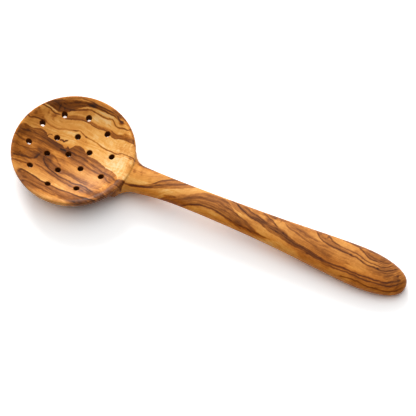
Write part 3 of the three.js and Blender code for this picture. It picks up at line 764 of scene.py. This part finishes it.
# Each spot: its darkness, its place along and across, and its reach along and across
FIGURE_SPOTS = (
    # Far side of the dish, and its wall by the handle
    (0.22, -26.3, 22.4, 1.9, 3), (0.18, -24.8, 23.2, 1.2, 2.2), (0.2, -30.2, 22.3, 1.2, 3),
    (0.14, -32.3, 18.3, 1, 2), (0.16, -19.6, 21, 2.4, 1), (0.16, -25.7, 20, 1.2, 1.2),
    (0.2, -38, 17.5, 2, 2.5), (0.25, -37.2, 21.6, 1.2, 1.4), (0.12, -29, 29.4, 2, 1.8),
    (0.3, -24.2, 30, 0.9, 4), (0.3, -22, 33.4, 1.8, 1), (0.28, -20.8, 30.6, 1, 1.6),
    (-0.2, -18, 36.3, 3, 1.2), (0.1, -26.5, 30.5, 3, 2.5), (0.35, 1.6, 18.4, 1.2, 0.9),
    (0.12, 3, 15.3, 0.7, 1.6), (0.12, 30, 16.2, 2.2, 2.4), (0.25, 40, 9.3, 2, 0.9),
    (0.1, 28.7, 26.8, 1.4, 1.8), (0.45, 22, 34, 2.8, 1.8), (-0.1, 21.5, 36.6, 1.8, 1.2),
    # From (-0.06, 33, 4) to (0.05, 38, 1), thin pale and dark spots across the dish's wall by the handle
    # paint streaks into its sheen
    (0.3, 30, 31.2, 1.5, 1), (0.22, 23, 33.4, 3, 1.8), (-0.12, 24, 27, 3, 1), (-0.06, 33, 4, 0.7, 7),
    (-0.06, 36.5, 2, 0.6, 7), (-0.05, 30, 6, 0.6, 5), (-0.06, 39.5, 0, 0.6, 7), (0.05, 34.8, 3, 0.5, 6),
    (0.05, 38, 1, 0.5, 6), (0.1, -6, 33.5, 2.5, 4), (0.08, -34, 25.3, 4, 1.5), (0.08, 7, 38.5, 2.4, 2),
    (0.1, 40.5, 10, 2.5, 3), (0.08, 27, 10, 2, 3),
    # Middle and near side of the dish
    (0.3, -42.5, -2, 1.6, 3.5), (0.25, -37.5, -19.6, 1.2, 1.2), (0.2, -42, -11.5, 1, 1.2),
    (0.2, -35, -15, 1, 1), (0.2, -38, -22, 1.5, 1.2), (0.25, -43, 3, 1.5, 2), (0.25, -37.5, 3.5, 2, 1.6),
    (0.2, -24, -12.3, 1.6, 2.6), (0.12, -20.5, -3.5, 3, 1.5), (0.25, -22.5, -33.6, 2.4, 1.4),
    (0.15, -24.5, -29.6, 1, 0.9), (0.2, -22, -37.8, 1.2, 1), (0.12, 16.5, -34.6, 1.2, 1),
    (0.1, 20.5, -35.8, 1.6, 1), (0.25, 24, -26.3, 3, 1.2), (0.14, 17.5, -26, 3, 2),
    (0.2, -28, -30.5, 1.6, 2.2), (0.15, -40, -1.5, 2.5, 4), (-0.2, 21.5, -34, 2.5, 1.2),
    (-0.08, -25, -2, 5, 3), (-0.08, -16.2, -8, 2, 2.4), (-0.08, 23, -2.5, 4, 1.8), (-0.08, 33, -15, 3, 2),
    (0.08, -7, -5, 3.5, 3.5),
    # Rim at the near right
    (0.45, 18, -38.4, 2.5, 0.9), (0.4, 22.5, -37.2, 2, 0.8), (0.4, 26, -34.8, 1.4, 0.9),
    (0.35, 29.5, -31.9, 2, 0.8), (0.35, 30, -28.7, 1.2, 0.8), (0.45, 35.5, -25.6, 1.6, 1),
    (0.35, 34, -27.4, 1, 0.8), (0.16, 8, -42.5, 6, 2), (0.35, 26.5, -32.6, 2, 1.2),
    # Neck and middle of the handle
    (-0.1, 43.5, -5.5, 3, 4.5), (-0.1, 43, 7, 2.5, 3), (0.2, 47.4, 1.4, 1.6, 1.8), (0.15, 53, 1, 0.9, 1.6),
    (0.12, 62, 6.5, 3, 1.2), (-0.08, 110, -7.2, 8, 1.2), (-0.12, 142, 7.2, 2, 1.2),
    (-0.1, 144, 4.8, 3.5, 1.3), (-0.14, 153.5, 1.1, 1.6, 0.8), (0.2, 153, 7.3, 1.2, 1.4),
    (0.22, 157.8, 7, 0.8, 1.8), (0.15, 172, 9, 1.4, 1.4), (0.12, 176.5, 9, 1.4, 2),
    (0.12, 179, 8.8, 1.2, 1.8), (0.14, 156, -6.9, 1.2, 0.9), (0.3, 163, -1.8, 1.2, 1),
    (0.25, 158, -2.7, 1.4, 0.8), (-0.07, 54, -5.5, 4, 1.8), (-0.07, 63, 1, 4, 3), (0.2, 58, -6.8, 3.5, 0.8),
    (0.12, 98, -6.4, 7, 1.3), (0.1, 46.5, 3, 1.2, 2.4), (0.08, 52, 4, 1, 5), (-0.08, 49, 5, 1.5, 3),
    (-0.08, 57, 4, 2, 2), (0.07, 60, -1, 1.2, 3), (0.07, 114, -2, 6, 2), (0.12, 172, -3.6, 3, 1.2),
    (0.1, 152, 5, 2.5, 3), (-0.08, 57, -3.4, 6, 2.4), (0.1, 119, -1, 2.5, 4),
    (-0.25, 130.5, -7.4, 2.5, 1.2), (0.1, 153, 8.5, 6, 2.5), (0.1, 150.5, 3.6, 4, 1.6),
    (-0.1, 170.5, 7, 3.5, 1.4), (-0.15, 191, -1, 4, 1.6), (-0.08, 184, 2, 4, 2), (0.1, 72, 3, 3, 2.5),
    (0.12, 156.5, 4, 2, 2), (0.1, 168, 5, 3.5, 1), (-0.1, 160.5, -1, 3, 1.2), (-0.08, 150, -4, 3, 1.2),
    (-0.1, 167, -6.5, 2.5, 1.4), (-0.09, 188, 1, 4, 2), (-0.08, 163, -9.4, 5, 1.2), (0.08, 183, -9, 6, 1.4),
    # Grip
    (0.25, 192.6, 9.5, 1, 2.4), (0.18, 191.3, 7, 1, 1.2), (-0.12, 190.8, 5.8, 1, 0.7),
    (0.35, 233, 0.8, 1.2, 0.9), (0.3, 212.3, 2.9, 1.4, 0.8), (0.25, 229, 6, 2, 0.8),
    (0.4, 250, 0.2, 1.7, 1.7), (0.25, 248.4, 2.6, 1.2, 1.6), (0.1, 246.5, -3.6, 1.6, 2.2),
    (0.08, 235, -2.4, 4, 1.4), (0.12, 213, -4.6, 2.4, 1), (-0.08, 215, -6, 5, 1.2), (0.06, 240, -3, 2, 1),
    (0.1, 243.5, -7, 4.5, 2), (0.14, 215, 7.5, 2.5, 2.5), (-0.14, 219, 11.6, 2, 1.6),
    (0.16, 195, 1.4, 5, 1.3), (0.14, 186.5, 10, 2, 2.5), (-0.08, 208, -12.3, 7, 1.6),
    (-0.09, 220, -5.8, 6, 2.2), (0.2, 250.2, -2.6, 1, 2.8), (0.18, 247.5, 0, 2.4, 2.6),
    (0.14, 239, 11, 2.2, 2.2), (0.1, 241.5, -1.5, 3.2, 3), (0.12, 222.5, 1.4, 3, 1.2),
    (0.14, 217.5, 13.4, 3, 1.5), (0.06, 218, 7.5, 4, 2.5), (0.08, 245, 9, 2, 3), (0.1, 247, -5.4, 3, 1.4),
    (0.09, 185, 11.5, 7, 2), (0.08, 190, 8, 2.5, 1.5), (0.08, 201, 0.2, 4, 1.2),
    (0.08, 199.5, -4.2, 3, 1.4), (-0.13, 201, -8.8, 6, 1.4), (-0.06, 213, -2.2, 6, 1.5),
    (0.1, 212.5, -8, 1.6, 2.4), (0.1, 232.5, -4, 2.5, 1.6), (0.06, 230, 6, 2.5, 1.5),
    (-0.08, 246, 4, 2.2, 2), (0.06, 222.5, 10.5, 2, 1.6),
    (0.08, 222.5, 1.2, 3.5, 1.2), (0.1, 230, -9.4, 4, 1), (-0.1, 235, 4, 1.6, 2.5),
)


# Points in each stretch between two listed points of the figure
FIGURE_STEPS = 4


def on_the_rings(points):
    """Places on the upper side as places along the spoon and across its rings."""
    along, across = np.array(points, float).T
    return list(zip(along, across + RING_LEAN * (upper_height(along, across) - BOWL_HEIGHT)))


def ring_curve(points):
    """A smooth line through places on the upper side, across the rings."""
    return on_the_rings(spline(points, FIGURE_STEPS))


def faded(points, strength, fade):
    """A strength along a line that fades in and out at its ends."""
    start, end = points[0][0], points[-1][0]
    return ((start, 0), (start + fade, strength), (end - fade, strength), (end, 0))


# Shader arithmetic

# Sockets of a Mix node for colours
MIX_SHARE = 0
MIX_FIRST = 6
MIX_SECOND = 7
MIX_RESULT = 2


def from_srgb(levels):
    """A linear colour from screen levels of 0 to 255."""
    shares = [level / 255 for level in levels]
    return (*[s / 12.92 if s <= 0.04045 else ((s + 0.055) / 1.055) ** 2.4 for s in shares], 1)


def set_stops(ramp, stops):
    """Colours along a ramp, each given by its place and screen levels."""
    while len(ramp.elements) < len(stops):
        ramp.elements.new(1)
    for element, (place, levels) in zip(ramp.elements, stops):
        element.position = place
        element.color = from_srgb(levels)


def set_points(mapping, points):
    """A smooth curve through the points, level beyond them."""
    mapping.use_clip = False
    mapping.extend = "HORIZONTAL"
    curve = mapping.curves[0]
    curve.points[0].location = points[0]
    curve.points[1].location = points[-1]
    for place, value in points[1:-1]:
        curve.points.new(place, value)
    for point in curve.points:
        point.handle_type = "AUTO_CLAMPED"
    mapping.update()


class Wire:
    """A shader socket that plain arithmetic can be done with."""

    def __init__(self, tree, socket):
        self.tree = tree
        self.socket = socket

    def node(self, kind, settings=None, inputs=None, output=0):
        """The output of a new node, whose settings are set first and then its sockets' values or links."""
        made = self.tree.nodes.new(kind)
        for name, value in (settings or {}).items():
            if name == "stops":
                set_stops(made.color_ramp, value)
            elif name == "points":
                set_points(made.mapping, value)
            else:
                setattr(made, name, value)
        for name, value in (inputs or {}).items():
            if isinstance(value, Wire):
                self.tree.links.new(value.socket, made.inputs[name])
            else:
                made.inputs[name].default_value = value
        return Wire(self.tree, made.outputs[output] if made.outputs else None)

    def math(self, operation, *values):
        return self.node("ShaderNodeMath", {"operation": operation}, dict(enumerate(values)))

    def vector(self, operation, *values, output="Vector"):
        return self.node("ShaderNodeVectorMath", {"operation": operation}, dict(enumerate(values)), output)

    def curve(self, points):
        return self.node("ShaderNodeFloatCurve", {"points": points}, {"Value": self})

    def __add__(self, other):
        return self.math("ADD", self, other)

    def __sub__(self, other):
        return self.math("SUBTRACT", self, other)

    def __rsub__(self, other):
        return self.math("SUBTRACT", other, self)

    def __mul__(self, other):
        return self.math("MULTIPLY", self, other)

    __radd__ = __add__
    __rmul__ = __mul__


def emptied_tree(holder):
    """A wire in the emptied node tree of a material or a world."""
    holder.use_nodes = True
    holder.node_tree.nodes.clear()
    return Wire(holder.node_tree, None)


def mixed(share, first, second, blend="MIX"):
    """A colour that goes from the first to the second as the share goes from 0 to 1."""
    settings = {"data_type": "RGBA", "blend_type": blend}
    inputs = {MIX_SHARE: share, MIX_FIRST: first, MIX_SECOND: second}
    return share.node("ShaderNodeMix", settings, inputs, MIX_RESULT)


def smooth_step(value, change):
    """0 at the start of the change and 1 at its end."""
    start, end = change
    inputs = {"Value": value, "From Min": start, "From Max": end}
    return value.node("ShaderNodeMapRange", {"interpolation_type": "SMOOTHSTEP"}, inputs)


# Oiled olive wood

# Colours by tone, in screen levels; the palest, cream stop is reached on the dish's wall by the handle,
# where it is a painted sheen
GOLDEN_TONES = (
    (0, (253, 212, 150)),
    (0.06, (246, 183, 96)),
    (0.15, (232, 158, 70)),
    (0.35, (200, 122, 44)),
    (0.55, (150, 84, 20)),
    (0.75, (96, 48, 7)),
    (0.9, (54, 25, 5)),
    (1, (30, 14, 4)),
)
ROSY_TONES = (
    (0, (253, 218, 164)),
    (0.06, (246, 190, 112)),
    (0.15, (232, 162, 82)),
    (0.35, (200, 127, 58)),
    (0.55, (152, 90, 40)),
    (0.75, (103, 56, 22)),
    (0.9, (60, 30, 13)),
    (1, (32, 16, 8)),
)
# Tint painted on the handle's shaded near side: a deeper orange for the colour of its shade
SHADE_AMBER = (1, 0.82, 0.55, 1)
# Tone of the plain wood along the spoon
HONEY_TONES = (
    (-46, 0.22), (-20, 0.17), (0, 0.12), (30, 0.1), (44, 0.18), (54, 0.22), (64, 0.17), (76, 0.12),
    (100, 0.14), (150, 0.21), (200, 0.26), (256, 0.31),
)
# Tones that meet stay short of black
TONE_LIMIT = ((-0.12, 0), (0, 0.035), (0.12, 0.12), (0.5, 0.5), (0.75, 0.69), (1, 0.8), (1.6, 0.96))
# Tone of the drain holes' walls: darker end grain, with painted shade in the holes
HOLE_GRAIN_AND_SHADE_TONE = 0.72
HOLE_ROUGHNESS = 0.9
WOOD_ROUGHNESS = 0.4
FIBRE_ROUGHNESS = 0.04
WOOD_IOR = 1.5
WOOD_SPECULAR = 0.12

# Lines that the fine grain follows, at the dish's far side, in its middle and at its near side
FAR_GRAIN = (
    (-46, 12), (-40, 12.5), (-30, 16), (-20, 15.8), (-10, 19.5), (-5, 20.4), (0, 19.2), (11, 16.3),
    (25, 12.6), (37, 11.5), (44, 10.6),
)
MIDDLE_GRAIN = (
    (-46, 0), (-30, 4), (-20, 3), (-10, 2.5), (0, 2.7), (10, 1), (20, -2.5), (30, -6), (44, -9),
)
NEAR_GRAIN = (
    (-46, -21), (-36, -18.5), (-25, -18), (-18, -18.2), (-10, -19.8), (4, -23), (18, -26), (28, -28),
    (44, -30),
)
# Drift of the grain along the handle, across it
HANDLE_DRIFT = (
    (52, 0), (57, 1), (63, 4), (70, 8), (77, 12.5), (84, 16), (90, 19.5), (96, 22.5), (101, 24),
    (110, 25), (118, 24), (126, 21.5), (142, 15.5), (160, 9), (170, 5.5), (180, 3), (190, 1), (200, 0),
    (212, -0.7), (220, -1.5), (226, -2.2), (232, -2), (237, -1), (241, 1), (244, 3.5), (247, 7),
    (250, 11), (256, 20),
)

# Waves in the figure: their size and how far they move it
WAVES = ((12, 0.8), (2.5, 0.45))
# Each kind of streak: its length along the grain, its width and its depth, and the detail of its noise
STREAK_SIZES = {
    "clouds": (9, 4.5, 8, 3),
    "stripes": (60, 1.7, 20, 3),
    "flecks": (6, 0.9, 3, 2),
    "fibres": (14, 0.35, 3, 2),
    "rays": (1.3, 4, 4, 2),
}
STREAK_ROUGHNESS = 0.6
NOISE_MIDDLE = 0.5
NOISE_GAIN = 4
# How far each kind changes the tone of the plain wood, and the strength of the figure
PLAIN_STREAKS = {"clouds": 0.08, "stripes": 0.05, "flecks": 0.068, "fibres": 0.054, "rays": 0.035}
FIGURE_STREAKS = {"stripes": 0.25, "flecks": 0.12}
# How much stronger the rays are on the dish's wall by the handle, where they paint streaks into its sheen
WALL_SHEEN_RAYS = 0.06

# Edge of a spot, in shares of its reach
SPOT_EDGE = (1.1, 0.2)
# Start and end of the changes along the spoon
WALL_START = (20, 32)
WALL_END = (46, 41)
ROSY_RIGHT = (10, 35)
ROSY_NECK = (45, 85)
BOWL_TO_HANDLE = (36, 48)
AMBER_NECK = (40, 60)
AMBER_GRIP = (130, 190)
# Start and end of the changes across the rings
NEAR_TO_MIDDLE = (-28, -6)
MIDDLE_TO_FAR = (-6, 16)
ROSY_TOP = (-10, 4)
AMBER_SIDE = (-4, -10)
# Slanting edge of the rosy wood in the bowl, and how far the right wall and the clouds move it
ROSY_EDGE = (-5, 45)
ROSY_SLANT = 2
RIGHT_SHIFT = 25
CLOUD_SHIFT = 20
# Share of the amber that the grip lacks
AMBER_LOSS = 0.45


def bowl_place(wood, *shares):
    """Place from the bowl's axis in millimetres, with a share of each of its three axes."""
    place = wood.node("ShaderNodeTexCoord", output="Object")
    scale = [share / MM for share in shares]
    return wood.vector("MULTIPLY_ADD", place, scale, (-BOWL_AXIS, 0, 0))


def wood_places(wood):
    """Place along the spoon, across its rings and square to both, in millimetres, a little wavy."""
    place = bowl_place(wood, 1, 1, 1)
    for size, reach in WAVES:
        inputs = {"Vector": place, "Scale": 1 / size, "Detail": 1}
        wave = wood.node("ShaderNodeTexNoise", None, inputs, "Color")
        shift = wood.vector("SUBTRACT", wave, [NOISE_MIDDLE] * 3)
        place = wood.vector("MULTIPLY_ADD", shift, [2 * reach] * 3, place)
    inputs = {"Vector": place}
    along, across, upward = [wood.node("ShaderNodeSeparateXYZ", None, inputs, axis) for axis in "XYZ"]
    lean = (upward - BOWL_HEIGHT) * RING_LEAN
    return along, across + lean, upward - across * RING_LEAN


def grain_line(points):
    """How far the grain has drifted across the rings at each place, from nothing at the bowl's end."""
    rings = ring_curve(points)
    start = rings[-1][1]
    return [(place, ring - start) for place, ring in rings] + list(HANDLE_DRIFT)


def grain_place(along, ring):
    """Place across the rings, with the sweep of the grain taken out."""
    near, middle, far = [along.curve(grain_line(line)) for line in (NEAR_GRAIN, MIDDLE_GRAIN, FAR_GRAIN)]
    drift = near + (middle - near) * smooth_step(ring, NEAR_TO_MIDDLE)
    return ring - (drift + (far - middle) * smooth_step(ring, MIDDLE_TO_FAR))


def streaks(along, grain, beside, length, width, depth, detail):
    """Noise drawn out along the grain, mostly from -1 to 1."""
    place = along.node("ShaderNodeCombineXYZ", None, {
        "X": along * (1 / length),
        "Y": grain * (1 / width),
        "Z": beside * (1 / depth),
    })
    inputs = {"Vector": place, "Scale": 1, "Detail": detail, "Roughness": STREAK_ROUGHNESS}
    noise = along.node("ShaderNodeTexNoise", None, inputs)
    return (noise - NOISE_MIDDLE) * NOISE_GAIN


def blended(streak, strengths):
    """The kinds of streaks added up, each by its strength."""
    return sum(streak[kind] * strength for kind, strength in strengths.items())


def figure_band(along, ring, band, figure):
    """The figure with one more band in it."""
    strength, profile, fade, upper, lower = band
    share = along.node("ShaderNodeMapRange", {"clamp": False}, {
        "Value": ring,
        "From Min": along.curve(ring_curve(lower)),
        "From Max": along.curve(ring_curve(upper)),
    })
    mark = share.curve(BAND_PROFILES[profile])
    return figure.math("MULTIPLY_ADD", mark, along.curve(faded(upper, strength, fade)), figure)


def figure_line(along, ring, line, figure):
    """The figure with one more line in it, as thin where it is steep as where it is level."""
    strength, above, below, fade, points = line
    rings = np.array(ring_curve(points))
    slope = np.gradient(rings[:, 1], rings[:, 0])
    thinness = list(zip(rings[:, 0], 1 / np.hypot(1, slope)))
    distance = (ring - along.curve(rings.tolist())) * along.curve(thinness)
    lower = [(-below * share, depth) for share, depth in LINE_PROFILE]
    upper = [(above * share, depth) for share, depth in reversed(LINE_PROFILE)]
    mark = distance.curve((*lower, (0, 1), *upper))
    return figure.math("MULTIPLY_ADD", mark, along.curve(faded(rings, strength, fade)), figure)


def figure_spot(place, spot, figure):
    """The figure with one more spot in it."""
    strength, along, across, long_reach, cross_reach = spot
    ring = on_the_rings([(along, across)])[0][1]
    scale = (1 / long_reach, 1 / cross_reach, 0)
    offset = place.vector("MULTIPLY_ADD", place, scale, (-along / long_reach, -ring / cross_reach, 0))
    distance = offset.vector("LENGTH", offset, output="Value")
    return figure + smooth_step(distance, SPOT_EDGE) * strength


def wood_figure(along, ring):
    figure = along * 0
    for band in FIGURE_BANDS:
        figure = figure_band(along, ring, band, figure)
    for line in FIGURE_LINES:
        figure = figure_line(along, ring, line, figure)
    place = along.node("ShaderNodeCombineXYZ", None, {"X": along, "Y": ring})
    for spot in FIGURE_SPOTS:
        figure = figure_spot(place, spot, figure)
    return figure


def right_wall(along):
    """1 on the dish's wall by the handle, where rays cross its pale wood and the sheen painted on it."""
    return smooth_step(along, WALL_START) * smooth_step(along, WALL_END)


def rosiness(along, ring, clouds):
    """Share of rosy wood: at the bowl's near right, and on top of the handle, whose golden near side is
    partly painted shade colour.
    """
    shift = smooth_step(along, ROSY_RIGHT) * RIGHT_SHIFT + clouds * CLOUD_SHIFT
    bowl = smooth_step(along - ring * ROSY_SLANT + shift, ROSY_EDGE)
    # On the handle, rosy on top and golden on the shaded near side: partly its rosy bands, partly painted
    # shade colour
    handle = smooth_step(ring, ROSY_TOP) * smooth_step(along, ROSY_NECK)
    return bowl + smooth_step(along, BOWL_TO_HANDLE) * (handle - bowl)


def shaded_near_side(along, ring):
    """1 low on the handle's near side, where a deeper orange is painted for the colour of its shade, and
    less on its grip.
    """
    amber = smooth_step(ring, AMBER_SIDE) * smooth_step(along, AMBER_NECK)
    return amber * (1 - smooth_step(along, AMBER_GRIP) * AMBER_LOSS)


def hole_walls(wood):
    """1 on the walls of the drain holes."""
    place = bowl_place(wood, 1, 1, 0)
    nearest, *others = [wood.vector("DISTANCE", place, (*hole, 0), output="Value") for hole in hole_places()]
    for distance in others:
        nearest = wood.math("MINIMUM", nearest, distance)
    return smooth_step(nearest, (HOLE_RADIUS + HOLE_EDGE_BLEND, HOLE_RADIUS))


def oiled_olive_wood():
    material = bpy.data.materials.new("oiled_olive_wood")
    wood = emptied_tree(material)
    along, ring, beside = wood_places(wood)
    grain = grain_place(along, ring)
    streak = {kind: streaks(along, grain, beside, *sizes) for kind, sizes in STREAK_SIZES.items()}
    figure = wood_figure(along, ring) * (blended(streak, FIGURE_STREAKS) + 1)
    plain = along.curve(HONEY_TONES) + blended(streak, PLAIN_STREAKS)
    # Stronger rays on the wall by the handle paint streaks into its sheen
    plain = plain + streak["rays"] * right_wall(along) * WALL_SHEEN_RAYS
    tone = (figure + plain).curve(TONE_LIMIT)
    holes = hole_walls(wood)
    # The holes' walls take a dark tone: darker end grain and painted shade
    tone = tone + holes * (HOLE_GRAIN_AND_SHADE_TONE - tone)
    roughness = streak["fibres"] * FIBRE_ROUGHNESS + WOOD_ROUGHNESS
    roughness = roughness + holes * (HOLE_ROUGHNESS - WOOD_ROUGHNESS)
    golden = wood.node("ShaderNodeValToRGB", {"stops": GOLDEN_TONES}, {"Fac": tone})
    rosy = wood.node("ShaderNodeValToRGB", {"stops": ROSY_TONES}, {"Fac": tone})
    colour = mixed(rosiness(along, ring, streak["clouds"]), golden, rosy)
    # Painted shade colour: a deeper orange on the handle's near side
    colour = mixed(shaded_near_side(along, ring), colour, SHADE_AMBER, "MULTIPLY")
    surface = wood.node("ShaderNodeBsdfPrincipled", None, {
        "Base Color": colour,
        "Roughness": roughness,
        "IOR": WOOD_IOR,
        "Specular IOR Level": WOOD_SPECULAR,
    })
    wood.node("ShaderNodeOutputMaterial", None, {"Surface": surface})
    return material


# Studio

FLOOR_SIZE = 12
FLOOR_LEVEL = 0.75
FLOOR_LEVEL_SEEN = 1.4
WORLD_STRENGTH = 0.07
WHITE = (1, 1, 1, 1)
# Each lamp's azimuth and elevation, its share of the light on the floor, and how wide it looks, in degrees
LAMPS = {
    "window_behind": (218, 25, 0.27, 26),
    "ceiling_softbox": (225, 70, 0.66, 104),
}


def seen_directly(wire):
    """1 for rays from the camera and for those that a glossy or clear surface sends on."""
    kinds = ("Is Camera Ray", "Is Glossy Ray", "Is Transmission Ray")
    camera, glossy, clear = [wire.node("ShaderNodeLightPath", output=kind) for kind in kinds]
    return wire.math("MAXIMUM", wire.math("MAXIMUM", camera, glossy), clear)


def studio_floor():
    half = FLOOR_SIZE / 2
    corners = [(-half, -half, 0), (half, -half, 0), (half, half, 0), (-half, half, 0)]
    floor = mesh_object("studio_floor", corners, [(0, 1, 2, 3)])
    material = bpy.data.materials.new("white_floor")
    wire = emptied_tree(material)
    level = FLOOR_LEVEL + seen_directly(wire) * (FLOOR_LEVEL_SEEN - FLOOR_LEVEL)
    paint = wire.node("ShaderNodeBsdfDiffuse", None, {"Color": level})
    wire.node("ShaderNodeOutputMaterial", None, {"Surface": paint})
    floor.data.materials.append(material)


def white_world():
    world = bpy.data.worlds.new("white_world")
    wire = emptied_tree(world)
    strength = WORLD_STRENGTH + seen_directly(wire) * (1 - WORLD_STRENGTH)
    light = wire.node("ShaderNodeBackground", None, {"Color": WHITE, "Strength": strength})
    wire.node("ShaderNodeOutputWorld", None, {"Surface": light})
    bpy.context.scene.world = world


def towards(azimuth, elevation):
    """Direction to a place round the spoon; azimuth 0 is in front, and elevation is above the floor."""
    azimuth, elevation = math.radians(azimuth), math.radians(elevation)
    level = math.cos(elevation)
    return Vector((math.sin(azimuth) * level, -math.cos(azimuth) * level, math.sin(elevation)))


def soft_lamp(name, azimuth, elevation, floor_share, spread):
    lamp = bpy.data.lights.new(name, "SUN")
    lamp.energy = floor_share * math.pi / math.sin(math.radians(elevation))
    lamp.angle = math.radians(spread)
    placed(name, lamp).rotation_euler = towards(azimuth, elevation).to_track_quat("Z", "Y").to_euler()


def photograph_camera():
    back = towards(CAMERA_AZIMUTH, CAMERA_ELEVATION)
    lens = bpy.data.cameras.new("photograph_camera")
    lens.lens = CAMERA_LENS
    camera = placed("photograph_camera", lens)
    camera.location = CAMERA_AIM + back * CAMERA_DISTANCE
    camera.rotation_euler = back.to_track_quat("Z", "Y").to_euler()
    bpy.context.scene.camera = camera


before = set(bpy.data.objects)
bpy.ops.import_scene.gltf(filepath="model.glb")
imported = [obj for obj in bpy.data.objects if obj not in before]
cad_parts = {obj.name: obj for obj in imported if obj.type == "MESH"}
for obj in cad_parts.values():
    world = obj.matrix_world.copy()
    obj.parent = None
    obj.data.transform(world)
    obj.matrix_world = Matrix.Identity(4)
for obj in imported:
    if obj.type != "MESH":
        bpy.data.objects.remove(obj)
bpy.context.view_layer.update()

spoon = carved_spoon()
spoon.data.materials.append(oiled_olive_wood())
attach(spoon, "root")
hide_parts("spoon")

studio_floor()
white_world()
for name, settings in LAMPS.items():
    soft_lamp(name, *settings)
photograph_camera()
bpy.context.scene.view_settings.view_transform = "Standard"
